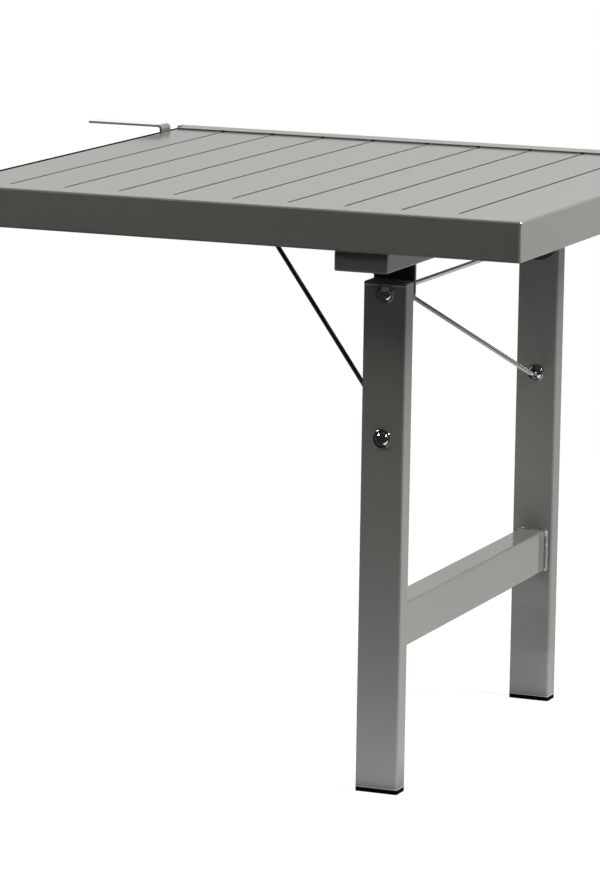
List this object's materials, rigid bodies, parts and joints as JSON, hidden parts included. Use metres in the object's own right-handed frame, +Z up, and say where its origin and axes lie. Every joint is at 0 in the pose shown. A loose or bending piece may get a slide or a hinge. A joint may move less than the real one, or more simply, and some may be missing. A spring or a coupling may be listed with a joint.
{
  "type": "dining table",
  "caption": "Square slatted outdoor table top carried by two hanger bars at one end and by a folding leg frame with a wire brace at the other.",
  "frame": {"origin": "on the floor, under the middle of the table's whole outline with its hanger bars", "axes": "+X along the top from the hanging end to the leg end, +Y from the front leg to the back leg, +Z up"},
  "size_m": [0.878, 0.77, 0.7485],
  "materials": {
    "frame_paint": "satin powder coat, grey green",
    "leg_paint": "satin powder coat, grey green",
    "black_plastic": "moulded, matt",
    "grey_plastic": "moulded, satin, in the coat's colour",
    "hanger_steel": "stainless, polished",
    "bright_cap": "polished",
    "dark_steel": "satin powder coat, nearly black",
    "steel_rod": "drawn, bright zinc",
    "screw_steel": "zinc plated",
    "nylon": "natural nylon"
  },
  "bodies": {
    "top": {"rail_front": "frame_paint", "rail_back": "frame_paint", "rail_leg_end": "frame_paint", "rail_hanging_end": "frame_paint", "end_plate_front": "black_plastic", "end_plate_back": "black_plastic", "edge_strip": "black_plastic", "slat_1": "frame_paint", "slat_2": "frame_paint", "slat_3": "frame_paint", "slat_4": "frame_paint", "slat_5": "frame_paint", "slat_6": "frame_paint", "slat_7": "frame_paint", "slat_8": "frame_paint", "slat_9": "frame_paint", "slat_10": "frame_paint", "middle_beam": "frame_paint", "brace_catch": "black_plastic", "catch_screws": "screw_steel", "crossbar": "frame_paint", "crossbar_plug_front": "grey_plastic", "crossbar_plug_back": "grey_plastic", "crossbar_screws": "screw_steel", "hinge_plate_front": "dark_steel", "hinge_plate_back": "dark_steel", "hanger_bar_front": "hanger_steel", "hanger_bar_back": "hanger_steel", "hanger_screws": "screw_steel"},
    "leg_frame": {"leg_front": "leg_paint", "leg_back": "leg_paint", "stretcher": "leg_paint", "foot_cap_front": "black_plastic", "foot_cap_back": "black_plastic", "leg_plug_front": "grey_plastic", "leg_plug_back": "grey_plastic", "pivot_rod": "steel_rod", "pivot_cap_front": "bright_cap", "pivot_cap_back": "bright_cap", "pivot_washer_front": "nylon", "pivot_washer_back": "nylon"},
    "brace": {"brace_rod_front": "steel_rod", "brace_rod_back": "steel_rod", "brace_block": "black_plastic", "brace_cap_front": "bright_cap", "brace_cap_back": "bright_cap", "brace_washer_front": "bright_cap", "brace_washer_back": "bright_cap"}
  },
  "joints": [
    {"name": "leg_fold", "type": "hinge", "parent": "top", "child": "leg_frame", "pos_m": [0.233, 0, 0.629], "axis": [0, 1, 0], "range_deg": [0, 90]},
    {"name": "brace_swing", "type": "hinge", "parent": "leg_frame", "child": "brace", "pos_m": [0.233, 0, 0.4485], "axis": [0, 1, 0], "range_deg": [-124, 0]}
  ],
  "couplings": [
    {"joint": "brace_swing", "follows": "leg_fold", "ratio": -1.37}
  ]
}
